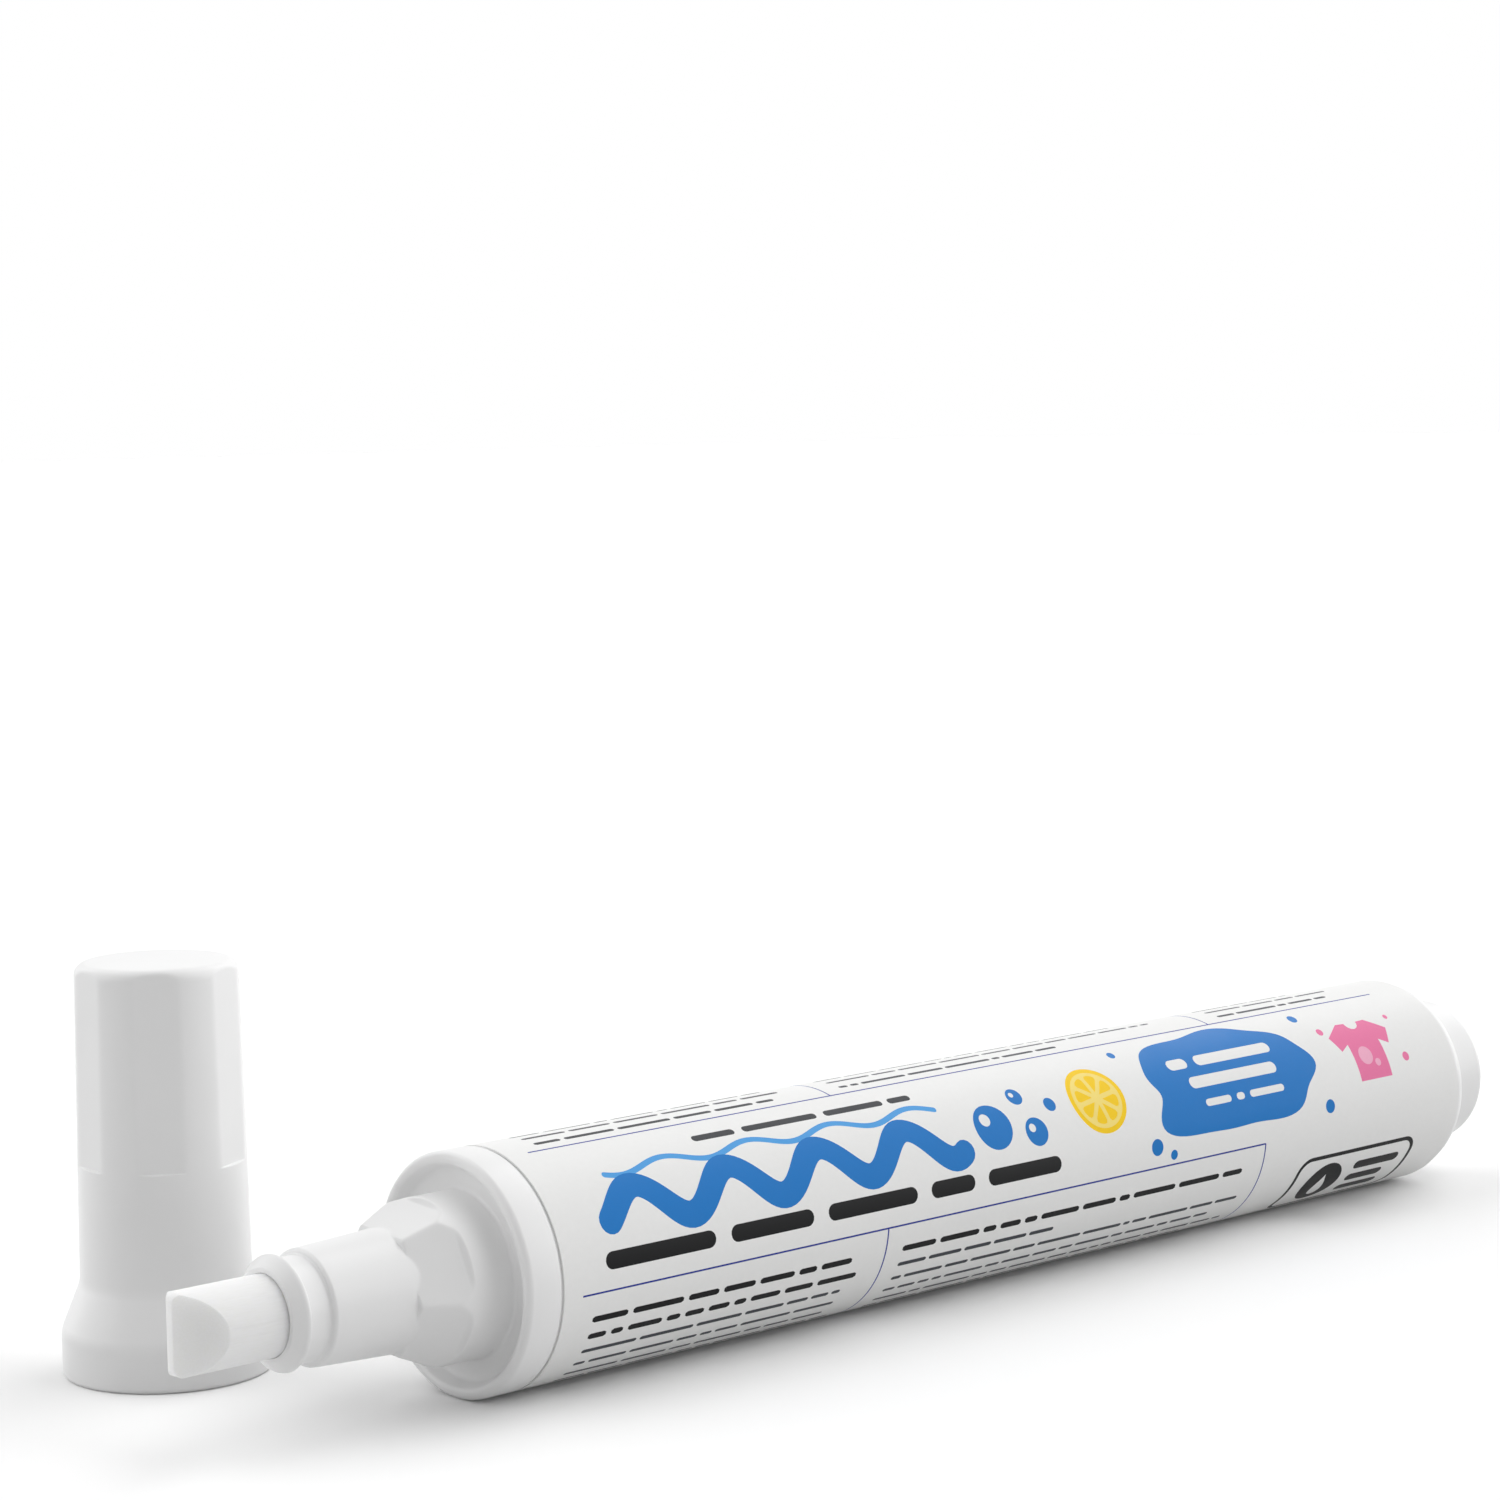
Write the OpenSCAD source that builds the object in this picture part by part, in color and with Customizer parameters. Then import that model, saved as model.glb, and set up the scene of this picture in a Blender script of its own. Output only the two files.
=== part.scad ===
// Stain remover pen, lying uncapped on a flat surface with its cap standing on its mouth beside it.
// The pen's axis runs along X, with the nib towards -X. The origin is the middle of the bottom of the box.

/* [Barrel] */
// Outside diameter of the pen over its label
pen_d = 18; // [17:0.5:24]
// Length from the front rim of the collar to the tail shoulder
barrel_l = 107.4; // [80:0.2:140]
// Wall of the barrel
barrel_wall = 1.1; // [0.8:0.1:1.6]
// Rounding of the tail shoulder
tail_round = 1.4; // [0.6:0.1:1.6]
// Thickness of the barrel's tail wall
tail_wall = 1.8; // [1.6:0.1:3]
// Height of the cleaning fluid above the pen's axis
fluid_level = 1; // [-4:0.5:6]

/* [Collar] */
// Length of the collar
collar_l = 3; // [2.6:0.1:6]
// Width of the collar's rim, outside the cap's mouth
collar_rim = 1.15; // [1:0.05:1.5]
// Rounding of the outer edge of that rim
collar_round = 0.85; // [0.3:0.05:0.9]
// Depth of the ring-shaped recess that takes the cap's mouth
recess_depth = 1.1; // [0.6:0.1:1.4]
// Thickness of the recess floor
recess_floor = 1.2; // [1:0.1:1.8]
// Length of the nose's spigot inside the barrel
spigot_l = 10; // [9:0.5:16]
// Wall of that spigot
spigot_wall = 1.35; // [1:0.05:1.6]

/* [Nose] */
// Length of the round seat in front of the collar, up to the facets' ridges
seat_l = 2.75; // [2:0.05:5]
// Length of the faceted flare
flare_l = 3.55; // [2.5:0.05:6]
// How far the flare rises from the neck
flare_rise = 1.65; // [1:0.05:1.8]
// Length of the neck
neck_l = 6.8; // [5:0.1:12]
// How much the neck's radius grows towards the flare
neck_draft = 0.3; // [0:0.05:0.5]
// Width of the groove behind the front flange
groove_w = 1.9; // [0.8:0.1:2.5]
// Wall left under the groove
groove_wall = 0.72; // [0.5:0.02:1]
// Height of the flange above the groove
flange_lip = 0.4; // [0.2:0.05:0.8]
// Thickness of the front flange
flange_t = 1.1; // [1:0.1:2.5]
// How far the flange's front tapers in
flange_taper = 0.8; // [0.2:0.05:0.85]
// Length of that taper
flange_taper_l = 0.8; // [0.4:0.05:0.8]
// Turn of the facets' ridges about the pen's axis
ridge_turn = 43; // [0:1:60]

/* [Nib] */
// Diameter of the nib
nib_d = 5.9; // [5:0.1:7.2]
// How far the nib stands out of the nose
nib_out = 7.75; // [5.5:0.05:10]
// Length of the nib inside the nose
nib_in = 10; // [8:0.5:11]
// Thickness of the chisel edge
nib_edge = 0.7; // [0.5:0.05:1.5]
// Length of each bevel
nib_bevel = 2.95; // [2:0.05:4]
// Rounding of the two ends of the chisel edge
nib_corner = 0.75; // [0.4:0.05:1.2]
// Rounding where a bevel leaves the nib's side
nib_shoulder = 0.4; // [0.2:0.05:0.8]
// How far the nib can be pressed in, which lifts the valve off its seal
nib_stroke = 1.5; // [0.5:0.1:2]

/* [Valve] */
// Thickness of the sealing ring
ring_t = 1.5; // [1:0.1:1.8]
// Hole through the sealing ring
ring_hole_d = 5; // [4.4:0.1:5.6]
// Diameter of the valve stem
stem_d = 2.8; // [2:0.1:3.6]
// Diameter of the valve stem's head
head_d = 7.4; // [6.6:0.1:9]
// Thickness of that head
head_t = 1.7; // [1.2:0.1:2]
// Diameter of the guide pin behind the head
guide_d = 2.2; // [1.6:0.1:2.6]
// Thickness of the disc that the nib pushes on
pusher_t = 0.9; // [0.6:0.1:1.2]
// Wall of the valve housing
housing_wall = 0.9; // [0.7:0.1:1.2]
// Thickness of the housing's rear wall
housing_floor = 1.2; // [1:0.1:1.5]
// Diameter of the flow holes in that wall
flow_d = 1.7; // [1:0.1:2]
// Mean diameter of the spring
spring_d = 4.6; // [4:0.1:5.6]
// Wire of the spring
spring_wire = 0.45; // [0.3:0.05:0.6]
// Turns of the spring
spring_turns = 5.5; // [3.5:0.5:6]

/* [End plug] */
// Diameter of the plug's head
plug_d = 12.8; // [12.2:0.1:13.6]
// How far the head stands out of the tail
plug_out = 5.6; // [3:0.1:8]
// Rounding of the head's edge
plug_round = 0.8; // [0.3:0.1:1.2]
// Wall of the plug
plug_wall = 1.2; // [0.8:0.1:1.6]
// Wall of the tail's socket for the plug
socket_wall = 1.1; // [0.8:0.1:1.4]
// Diameter of the plug's spigot
plug_spigot_d = 10.4; // [9.4:0.1:10.8]
// Length of that spigot
plug_spigot_l = 6; // [5:0.5:10]

/* [Label] */
// Thickness of the label film
label_t = 0.15; // [0.08:0.01:0.25]
// Bare barrel left in front of the label
label_front = 0.2; // [0.1:0.05:1]
// Bare barrel left behind the label, before the tail shoulder's rounding
label_rear = 0.3; // [0.2:0.1:6]
// Width of the glued overlap, as an angle
label_overlap = 14; // [8:1:30]
// Place of the overlap about the pen's axis, from the top towards the cap's side
label_seam = 70; // [30:1:120]

/* [Cap] */
// Length of the cap
cap_l = 30.8; // [27.2:0.2:36]
// Wall of the cap
cap_wall = 0.97; // [0.8:0.01:1.2]
// Thickness of the cap's closed end
cap_end_wall = 1.1; // [0.9:0.1:1.6]
// Rounding of the closed end's edge
cap_round = 0.9; // [0.3:0.1:1.2]
// How much the shank's radius grows from the closed end to the flare
cap_draft = 0.35; // [0:0.05:0.4]
// Length of the skirt at the mouth
skirt_l = 3.4; // [3:0.1:6]
// Length of the flare between skirt and shank
cap_flare_l = 3.6; // [2.5:0.1:5]
// Softness of the flare's two bends
cap_bend = 2.5; // [0.5:0.1:3]
// Number of grip flats round the closed end
flat_count = 6; // [4:1:8]
// Length of the grip flats
flat_l = 15; // [8:0.1:16]
// Depth of the grip flats
flat_depth = 0.25; // [0.1:0.05:0.4]
// Wall of the seal inside the cap
seal_wall = 0.8; // [0.6:0.05:1]
// Length of the lip in that seal which grips the nose's front flange
lip_l = 1; // [0.8:0.1:1.3]

/* [Where the cap stands] */
// Distance from the pen's axis to the cap's axis
cap_aside = 22.55; // [19:0.05:40]
// How far the cap's axis is in front of the collar's rim
cap_ahead = 9.45; // [0:0.05:16]
// Turn of the cap about its own axis
cap_turn = -4; // [-30:1:30]

/* [Fits] */
// Radial gap round a piece that slides
run_gap = 0.08; // [0.03:0.01:0.1]
// Radial gap round a piece that is pressed in
press_gap = 0.03; // [0.01:0.01:0.05]
// Height of a sealing rib
rib_h = 0.15; // [0.1:0.05:0.25]
// Distance between the sealing ribs on the nose's spigot
nose_rib_pitch = 2.2; // [1.5:0.1:2.6]
// Distance between the sealing ribs on the end plug's spigot
plug_rib_pitch = 1.8; // [1.4:0.1:2.2]

/* [Edges] */
// Rounding of an edge that a finger meets
soft_edge = 0.3; // [0.15:0.05:0.4]
// Rounding of a crisp edge
crisp_edge = 0.15; // [0.05:0.05:0.2]

/* [Hidden] */
pen_r = pen_d / 2;
barrel_r = pen_r - label_t - press_gap;
bore_r = barrel_r - barrel_wall;
nib_r = nib_d / 2;
nib_bore_r = nib_r + run_gap;
groove_r = nib_bore_r + groove_wall;
flange_r = groove_r + flange_lip;
neck_front_r = flange_r + press_gap;
neck_rear_r = neck_front_r + neck_draft;
seat_r = neck_rear_r + flare_rise;
skirt_r = pen_r - collar_rim;
recess_r = skirt_r + run_gap;

// Places along the pen, from the collar's front rim, towards the tail
flare_z = -seat_l - flare_l;
neck_z = flare_z - neck_l;
groove_z = neck_z - groove_w;
front_z = groove_z - flange_t;
tip_z = front_z - nib_out;
nib_rear_z = front_z + nib_in;
chamber_z = recess_depth + recess_floor;
spigot_end_z = collar_l + spigot_l;
plug_end_z = barrel_l + plug_out;

// The valve, from the sealing ring back
spigot_r = bore_r - press_gap - rib_h;
chamber_r = spigot_r - spigot_wall;
housing_r = chamber_r - press_gap;
housing_bore_r = housing_r - housing_wall;
ring_end_z = chamber_z + ring_t;
head_z = ring_end_z + run_gap;
head_end_z = head_z + head_t;
housing_end_z = spigot_end_z;
housing_floor_z = housing_end_z - housing_floor;
guide_r = guide_d / 2;
guide_end_z = housing_floor_z + housing_floor / 2;
stem_r = stem_d / 2;
fluid_z = housing_end_z + nib_stroke + run_gap;

// The tail
plug_r = plug_d / 2;
plug_spigot_r = plug_spigot_d / 2;
plug_socket_r = plug_spigot_r + rib_h + press_gap;
socket_z = barrel_l - plug_spigot_l - press_gap;
label_start_z = collar_l + label_front;
label_end_z = barrel_l - tail_round - label_rear;

// The cap, from its mouth up
socket_r = seat_r + run_gap;
socket_depth = recess_depth + seat_l;
seal_r = flange_r + run_gap + seal_wall;
cap_bore_r = seal_r + press_gap;
cap_end_r = cap_bore_r + cap_wall;
shank_r = cap_end_r + cap_draft;
shank_z = skirt_l + cap_flare_l;
seal_z = recess_depth - neck_z + press_gap;
seal_top_z = cap_l - cap_end_wall - press_gap;
draft_angle = atan(cap_draft / (cap_l - shank_z));

// The box of everything, which sets the origin
pen_x = -(plug_end_z + tip_z) / 2;
pen_y = -(cap_aside + skirt_r - pen_r) / 2;

// How far a cut runs past the face that it opens, and past one that it only meets
past = 1;
skin = 0.01;
// Half the width of a sealing rib at its foot and at its crest
rib_foot = 0.5;
rib_crest = 0.2;
arc_steps = 8;
$fn = 96;

function unit(v) = v / norm(v);
function turned(v, a) = [v.x * cos(a) - v.y * sin(a), v.x * sin(a) + v.y * cos(a)];

// The points of corner b between a and c, rounded to radius r
function corner(a, b, c, r) =
    let (to_a = unit(a - b),
         to_c = unit(c - b),
         half = acos(to_a * to_c) / 2,
         centre = b + unit(to_a + to_c) * r / sin(half),
         start = b + to_a * r / tan(half) - centre,
         turn = sign(cross(b - a, c - b)) * (180 - 2 * half))
    [for (i = [0 : arc_steps]) centre + turned(start, turn * i / arc_steps)];

// An outline from points [x, y, radius], with round corners where the radius is above 0
function rounded(p) =
    let (n = len(p), flat = [for (q = p) [q.x, q.y]])
    [for (i = [0 : n - 1])
        each p[i].z > 0 ? corner(flat[(i + n - 1) % n], flat[i], flat[(i + 1) % n], p[i].z) : [flat[i]]];

// Points of a low round rib on a spigot, in radius and height
function rib(r, z) = [[r, z - rib_foot, 0], [r + rib_h, z - rib_crest, 0],
                      [r + rib_h, z + rib_crest, 0], [r, z + rib_foot, 0]];

// A turned solid, from an outline in radius and height
module turned_solid(points) {
    rotate_extrude() polygon(rounded(points));
}

// A hole or a plain round bar between two heights
module bar(r, z0, z1) {
    translate([0, 0, z0]) cylinder(h = z1 - z0, r = r);
}

// Puts what is drawn along +Z from the collar's rim onto the lying pen
module on_pen() {
    translate([pen_x, pen_y, pen_r]) rotate([0, 90, 0]) children();
}

// Puts what is drawn up from the mouth onto the standing cap
module on_cap() {
    translate([pen_x - cap_ahead, pen_y + cap_aside, 0]) rotate([0, 0, cap_turn]) children();
}

module barrel() {
    color("white") on_pen() difference() {
        turned_solid([[0, collar_l, 0], [barrel_r, collar_l, 0], [barrel_r, barrel_l, tail_round],
                      [0, barrel_l, 0]]);
        difference() {
            bar(bore_r, collar_l - past, barrel_l - tail_wall);
            bar(plug_socket_r + socket_wall, socket_z, barrel_l);
        }
        bar(plug_socket_r, socket_z - past, barrel_l + past);
    }
}

module label_wrap() {
    inner_r = pen_r - label_t;
    flap_t = label_t * 0.6;
    color([0.96, 0.96, 0.95]) on_pen() {
        difference() {
            bar(pen_r, label_start_z, label_end_z);
            bar(inner_r, label_start_z - past, label_end_z + past);
        }
        // The glued overlap, a second layer on the side away from the printed front
        intersection() {
            difference() {
                bar(pen_r + flap_t, label_start_z, label_end_z);
                bar(inner_r + label_t / 2, label_start_z - past, label_end_z + past);
            }
            rotate([0, 0, 180 - label_seam]) translate([0, 0, label_start_z])
                linear_extrude(label_end_z - label_start_z)
                    polygon([[0, 0], [pen_d, -pen_d * tan(label_overlap / 2)],
                             [pen_d, pen_d * tan(label_overlap / 2)]]);
        }
    }
}

module end_plug() {
    color("white") on_pen() difference() {
        turned_solid(concat(
            [[0, barrel_l - plug_spigot_l, 0], [plug_spigot_r, barrel_l - plug_spigot_l, soft_edge]],
            [for (k = [2, 1]) each rib(plug_spigot_r, barrel_l - plug_rib_pitch * k)],
            [[plug_spigot_r, barrel_l, 0], [plug_r, barrel_l, crisp_edge],
             [plug_r, plug_end_z, plug_round], [0, plug_end_z, 0]]));
        bar(plug_spigot_r - plug_wall, barrel_l - plug_spigot_l - past, plug_end_z - plug_wall);
    }
}

// What fills the lower part of the barrel when the pen lies down
module cleaning_fluid() {
    fluid_r = bore_r - press_gap;
    fluid_end_z = socket_z - press_gap;
    color([0.8, 0.9, 1, 0.5]) on_pen() intersection() {
        bar(fluid_r, fluid_z, fluid_end_z);
        translate([-fluid_level, -pen_r, 0]) cube([pen_d, pen_d, barrel_l]);
    }
}

// The seat, and in front of it the six facets of a hexagonal taper that leaves the neck at its ridges
module faceted_flare() {
    front_c = neck_rear_r - press_gap;
    rise_per_mm = flare_rise / flare_l;
    facet_l = (seat_r / cos(30) - front_c) / rise_per_mm;
    overlap_l = 0.5;
    cone_l = facet_l + overlap_l;
    seat_end_z = recess_depth + recess_floor / 2;
    intersection() {
        bar(seat_r, flare_z, seat_end_z);
        translate([0, 0, flare_z]) rotate([0, 0, 180 + ridge_turn])
            cylinder(h = cone_l, r1 = front_c, r2 = front_c + rise_per_mm * cone_l, $fn = 6);
    }
    bar(seat_r, flare_z + cone_l - overlap_l / 2, seat_end_z);
}

module nose_section() {
    rim_w = pen_r - recess_r;
    rim_flat = 0.05;
    rim_out = min(collar_round, rim_w - crisp_edge - rim_flat);
    collar_end_z = collar_l - press_gap;
    color("white") on_pen() difference() {
        union() {
            turned_solid(concat(
                // Front flange, groove and neck
                [[0, front_z, 0], [flange_r - flange_taper, front_z, crisp_edge],
                 [flange_r, front_z + flange_taper_l, soft_edge], [flange_r, groove_z, crisp_edge],
                 [groove_r, groove_z, 0], [groove_r, neck_z, 0], [neck_front_r, neck_z, soft_edge],
                 [neck_rear_r, flare_z, 0]],
                // Recess for the cap's mouth, and the collar's rim
                [[neck_rear_r, recess_depth, 0], [recess_r, recess_depth, soft_edge],
                 [recess_r, 0, crisp_edge], [pen_r, 0, rim_out], [pen_r, collar_end_z, crisp_edge]],
                // Spigot inside the barrel, with its sealing ribs
                [[spigot_r, collar_end_z, 0]],
                [for (k = [1 : 3]) each rib(spigot_r, collar_l + nose_rib_pitch * k)],
                [[spigot_r, spigot_end_z, 0], [0, spigot_end_z, 0]]));
            faceted_flare();
        }
        bar(nib_bore_r, front_z - past, spigot_end_z + past);
        bar(chamber_r, chamber_z, spigot_end_z + past);
    }
}

module nib() {
    half_edge = nib_edge / 2;
    color([0.97, 0.97, 0.95]) on_pen() intersection() {
        bar(nib_r, tip_z, nib_rear_z);
        // The two bevels of the chisel, seen from above
        rotate([90, 0, 90]) linear_extrude(nib_d * 2, center = true)
            polygon(rounded([[-half_edge, tip_z, nib_edge / 3], [half_edge, tip_z, nib_edge / 3],
                             [nib_r, tip_z + nib_bevel, nib_shoulder], [nib_r, nib_rear_z, 0],
                             [-nib_r, nib_rear_z, 0], [-nib_r, tip_z + nib_bevel, nib_shoulder]]));
        // The rounded ends of the chisel edge, seen from the side
        rotate([90, 0, 0]) linear_extrude(nib_d * 2, center = true)
            polygon(rounded([[-nib_r, tip_z, nib_corner], [nib_r, tip_z, nib_corner],
                             [nib_r, nib_rear_z, soft_edge], [-nib_r, nib_rear_z, soft_edge]]));
    }
}

// Pushed back by the nib, it lifts its head off the sealing ring
module valve_stem() {
    head_r = head_d / 2;
    guide_foot = 0.4;
    color([0.85, 0.87, 0.9]) on_pen() {
        bar(nib_r - run_gap, nib_rear_z, nib_rear_z + pusher_t);
        bar(stem_r, nib_rear_z, head_end_z);
        turned_solid([[0, head_z, 0], [head_r, head_z, crisp_edge],
                      [head_r, head_z + head_t / 2, crisp_edge], [stem_r + guide_foot, head_end_z, 0],
                      [0, head_end_z, 0]]);
        bar(guide_r, head_z, guide_end_z);
    }
}

module valve_spring() {
    wire_r = spring_wire / 2;
    coil_r = spring_d / 2;
    start_z = head_end_z + wire_r + press_gap;
    rise = housing_floor_z - press_gap - wire_r - start_z;
    steps_per_turn = 16;
    sides = 6;
    count = spring_turns * steps_per_turn;
    points = [for (i = [0 : count], j = [0 : sides - 1])
        let (a = 360 * i / steps_per_turn,
             b = 360 * j / sides,
             r = coil_r + wire_r * cos(b))
        [r * cos(a), r * sin(a), start_z + rise * i / count + wire_r * sin(b)]];
    skin = [for (i = [0 : count - 1], j = [0 : sides - 1])
        let (k = (j + 1) % sides, a = i * sides, b = (i + 1) * sides)
        each [[a + j, b + j, b + k], [a + j, b + k, a + k]]];
    ends = [[for (j = [0 : sides - 1]) j], [for (j = [0 : sides - 1]) (count + 1) * sides - 1 - j]];
    color("silver") on_pen() polyhedron(points, concat(skin, ends), convexity = 6);
}

module valve_seal() {
    color([0.35, 0.36, 0.38]) on_pen() difference() {
        bar(housing_r, chamber_z, ring_end_z);
        bar(ring_hole_d / 2, chamber_z - past, ring_end_z + past);
    }
}

module valve_housing() {
    flow_r = (guide_r + housing_bore_r) / 2;
    color([0.9, 0.92, 0.94]) on_pen() difference() {
        bar(housing_r, ring_end_z, housing_end_z);
        bar(housing_bore_r, ring_end_z - past, housing_floor_z);
        bar(guide_r + run_gap, housing_floor_z - past, housing_end_z + past);
        for (k = [0 : 3])
            rotate([0, 0, 45 + 90 * k]) translate([flow_r, 0, 0])
                bar(flow_d / 2, housing_floor_z - past, housing_end_z + past);
    }
}

module cap_shell() {
    step_z = cap_l - flat_l;
    step_r = cap_end_r + cap_draft * flat_l / (cap_l - shank_z);
    color("white") on_cap() difference() {
        turned_solid([[0, 0, 0], [skirt_r, 0, soft_edge], [skirt_r, skirt_l, cap_bend],
                      [shank_r, shank_z, cap_bend], [cap_end_r, cap_l, cap_round], [0, cap_l, 0]]);
        // Socket for the nose's seat, then the bore for the inner seal
        bar(socket_r, -past, socket_depth);
        turned_solid([[0, socket_depth - skin, 0], [socket_r, socket_depth - skin, 0],
                      [cap_bore_r, socket_depth + flare_l, 0], [0, socket_depth + flare_l, 0]]);
        bar(cap_bore_r, socket_depth, cap_l - cap_end_wall);
        // Grip flats, which follow the shank's draft and end in a square step
        for (k = [0 : flat_count - 1])
            rotate([0, 0, 360 * k / flat_count]) translate([step_r - flat_depth, 0, step_z])
                rotate([0, -draft_angle, 0]) translate([0, -pen_r, 0]) cube([pen_r, pen_d, cap_l]);
    }
}

// A cup that closes round the front flange and keeps the nib moist
module cap_inner_seal() {
    lip_r = flange_r + press_gap;
    inner_r = flange_r + run_gap;
    color([0.92, 0.93, 0.94]) on_cap() difference() {
        bar(seal_r, seal_z, seal_top_z);
        turned_solid([[0, seal_z - skin, 0], [lip_r + soft_edge, seal_z - skin, 0],
                      [lip_r, seal_z + soft_edge, 0], [lip_r, seal_z + lip_l, 0],
                      [inner_r, seal_z + lip_l + soft_edge, 0],
                      [inner_r, seal_top_z - seal_wall, seal_wall], [0, seal_top_z - seal_wall, 0]]);
    }
}

barrel();
label_wrap();
end_plug();
cleaning_fluid();
nose_section();
nib();
valve_stem();
valve_spring();
valve_seal();
valve_housing();
cap_shell();
cap_inner_seal();
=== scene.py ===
"""The looks of a stain remover pen: it lies uncapped on a pale floor, with its cap standing beside it."""

import math
import random

import bmesh
import bpy
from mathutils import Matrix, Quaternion, Vector
from mathutils.geometry import delaunay_2d_cdt


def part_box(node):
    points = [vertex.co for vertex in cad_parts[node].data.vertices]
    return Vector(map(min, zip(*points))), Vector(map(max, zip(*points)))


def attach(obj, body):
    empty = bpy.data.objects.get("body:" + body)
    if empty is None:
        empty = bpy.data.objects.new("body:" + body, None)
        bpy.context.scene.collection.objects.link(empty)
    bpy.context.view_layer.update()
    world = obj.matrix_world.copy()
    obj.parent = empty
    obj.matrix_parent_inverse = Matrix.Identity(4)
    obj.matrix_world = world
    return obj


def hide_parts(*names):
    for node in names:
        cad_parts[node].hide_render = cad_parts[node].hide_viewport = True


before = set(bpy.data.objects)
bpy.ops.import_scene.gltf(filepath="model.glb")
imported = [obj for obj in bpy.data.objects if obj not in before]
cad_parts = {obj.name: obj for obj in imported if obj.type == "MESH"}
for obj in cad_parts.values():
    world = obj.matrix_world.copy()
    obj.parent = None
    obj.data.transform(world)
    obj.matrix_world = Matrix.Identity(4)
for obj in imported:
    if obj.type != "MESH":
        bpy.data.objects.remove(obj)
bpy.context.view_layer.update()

MM = 0.001
TINY = 0.001
ROUND_STEPS = 192
ARC_STEPS = 7

# The studio. Floor and sky are shares of white.
FLOOR_SIZE = 6.0
FLOOR_WHITE = 1.06
FLOOR_BOUNCE = 0.72
WORLD_LIGHT = 0.31
# Each soft lamp's level, the side it stands on and its height, both in degrees
SOFTBOXES = {"softbox_back": (0.1, 145.0, 60.0), "softbox_right": (0.64, 66.0, 36.0),
             "softbox_left": (0.5, -145.0, 27.0)}
SOFTBOX_SPREAD = 85.0

# The photograph's camera, as fitted to the outlines of the pen and the cap: pixels, metres and degrees
FRAME_PX = 1500
FOCAL_PX = 3696.4
SENSOR_MM = 36
CAMERA_PLACE = (-0.202448, -0.219474, 0.070406)
CAMERA_AZIMUTH = -41.955
CAMERA_ELEVATION = 5.231
CAMERA_ROLL = -1.065

# Barrel and tail plug in millimetres, along the pen from the collar's front rim towards the tail
PEN_R = 9.0
BARREL_R = 8.82
BARREL_L = 107.4
BARREL_LIP = 1.5
TAIL_ROUND = 1.4
PLUG_R = 6.4
PLUG_OUT = 5.6
PLUG_ROUND = 0.8
PLUG_SOCKET_R = 5.38
PLUG_SOCKET_L = 4.0
PLUG_SHANK_R = 5.2
PLUG_SHANK_L = 3.0
GATE_R = 1.1
GATE_DEPTH = 0.25
GATE_DRAFT = 0.1
EDGE_ROUND = 0.15
CRISP_ROUND = 0.1

# The nose
COLLAR_L = 3.0
COLLAR_GAP = 0.03
RIM_ROUND = 0.5
RECESS_DEPTH = 1.1
RECESS_MOUTH_R = 8.2
RECESS_FLOOR_R = 7.68
RECESS_MOUTH_ROUND = 0.4
RECESS_FLOOR_ROUND = 0.5
SEAT_R = 6.13
SEAT_L = 2.75
SEAT_FOOT_ROUND = 0.3
SEAT_FOOT_L = 0.35
FACET_COUNT = 6
FLARE_L = 3.55
FLARE_FRONT_R = 4.95
FLARE_RISE = 0.455
FLARE_STEP_L = 0.15
SHOULDER_L = 0.35
FLARE_MESH_STEP = 0.05
FLARE_MESH_MARGIN = 0.5
RIDGE_TURN = 34.0
RIDGE_TRIM = 0.99
RIDGE_SOFT = 0.1
FLARE_FOOT_SOFT = 0.06
NECK_REAR_R = 4.48
NECK_FRONT_R = 4.18
NECK_L = 6.8
NECK_ROUND = 0.3
NECK_EVEN_L = 0.4
GROOVE_R = 3.75
GROOVE_W = 1.9
GROOVE_ROUND = 0.2
FLANGE_R = 4.15
FLANGE_T = 1.1
FLANGE_TAPER = 0.8
FLANGE_TAPER_L = 0.8
FLANGE_ROUND = 0.4
NIB_R = 2.95
NIB_GAP = 0.02
NIB_BORE_L = 6.0
NIB_BORE_ROUND = 0.05
NIB_EDGE = 0.09
NIB_EDGE_DEGREES = 28

# Places along the nose, which lies in front of the collar's rim. The facets' mesh ends on the round seat.
SEAT_FRONT = -SEAT_L
FACETS_REAR = SEAT_FRONT + 0.75
FLARE_FRONT = SEAT_FRONT - FLARE_L
NECK_FRONT = FLARE_FRONT - NECK_L
GROOVE_FRONT = NECK_FRONT - GROOVE_W
NOSE_FRONT = GROOVE_FRONT - FLANGE_T

# The label: millimetres along the pen, and degrees round it for its seam and its mesh
LABEL_START = 3.2
LABEL_END = 105.7
LABEL_L = LABEL_END - LABEL_START
FILM_T = 0.15
FLAP_T = 0.09
SKIN_INSET = 0.005
SEAM_TURN = -70.0
SEAM_WIDTH = 14.0
OVERLAP_ENDS = (SEAM_TURN + SEAM_WIDTH / 2, SEAM_TURN + 360 - SEAM_WIDTH / 2)
LABEL_STEPS = 240
FLAP_STEP_HALF = 0.25
FLAP_STEP_CLEAR = 0.4
MM_PER_DEGREE = math.pi * PEN_R / 180

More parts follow.
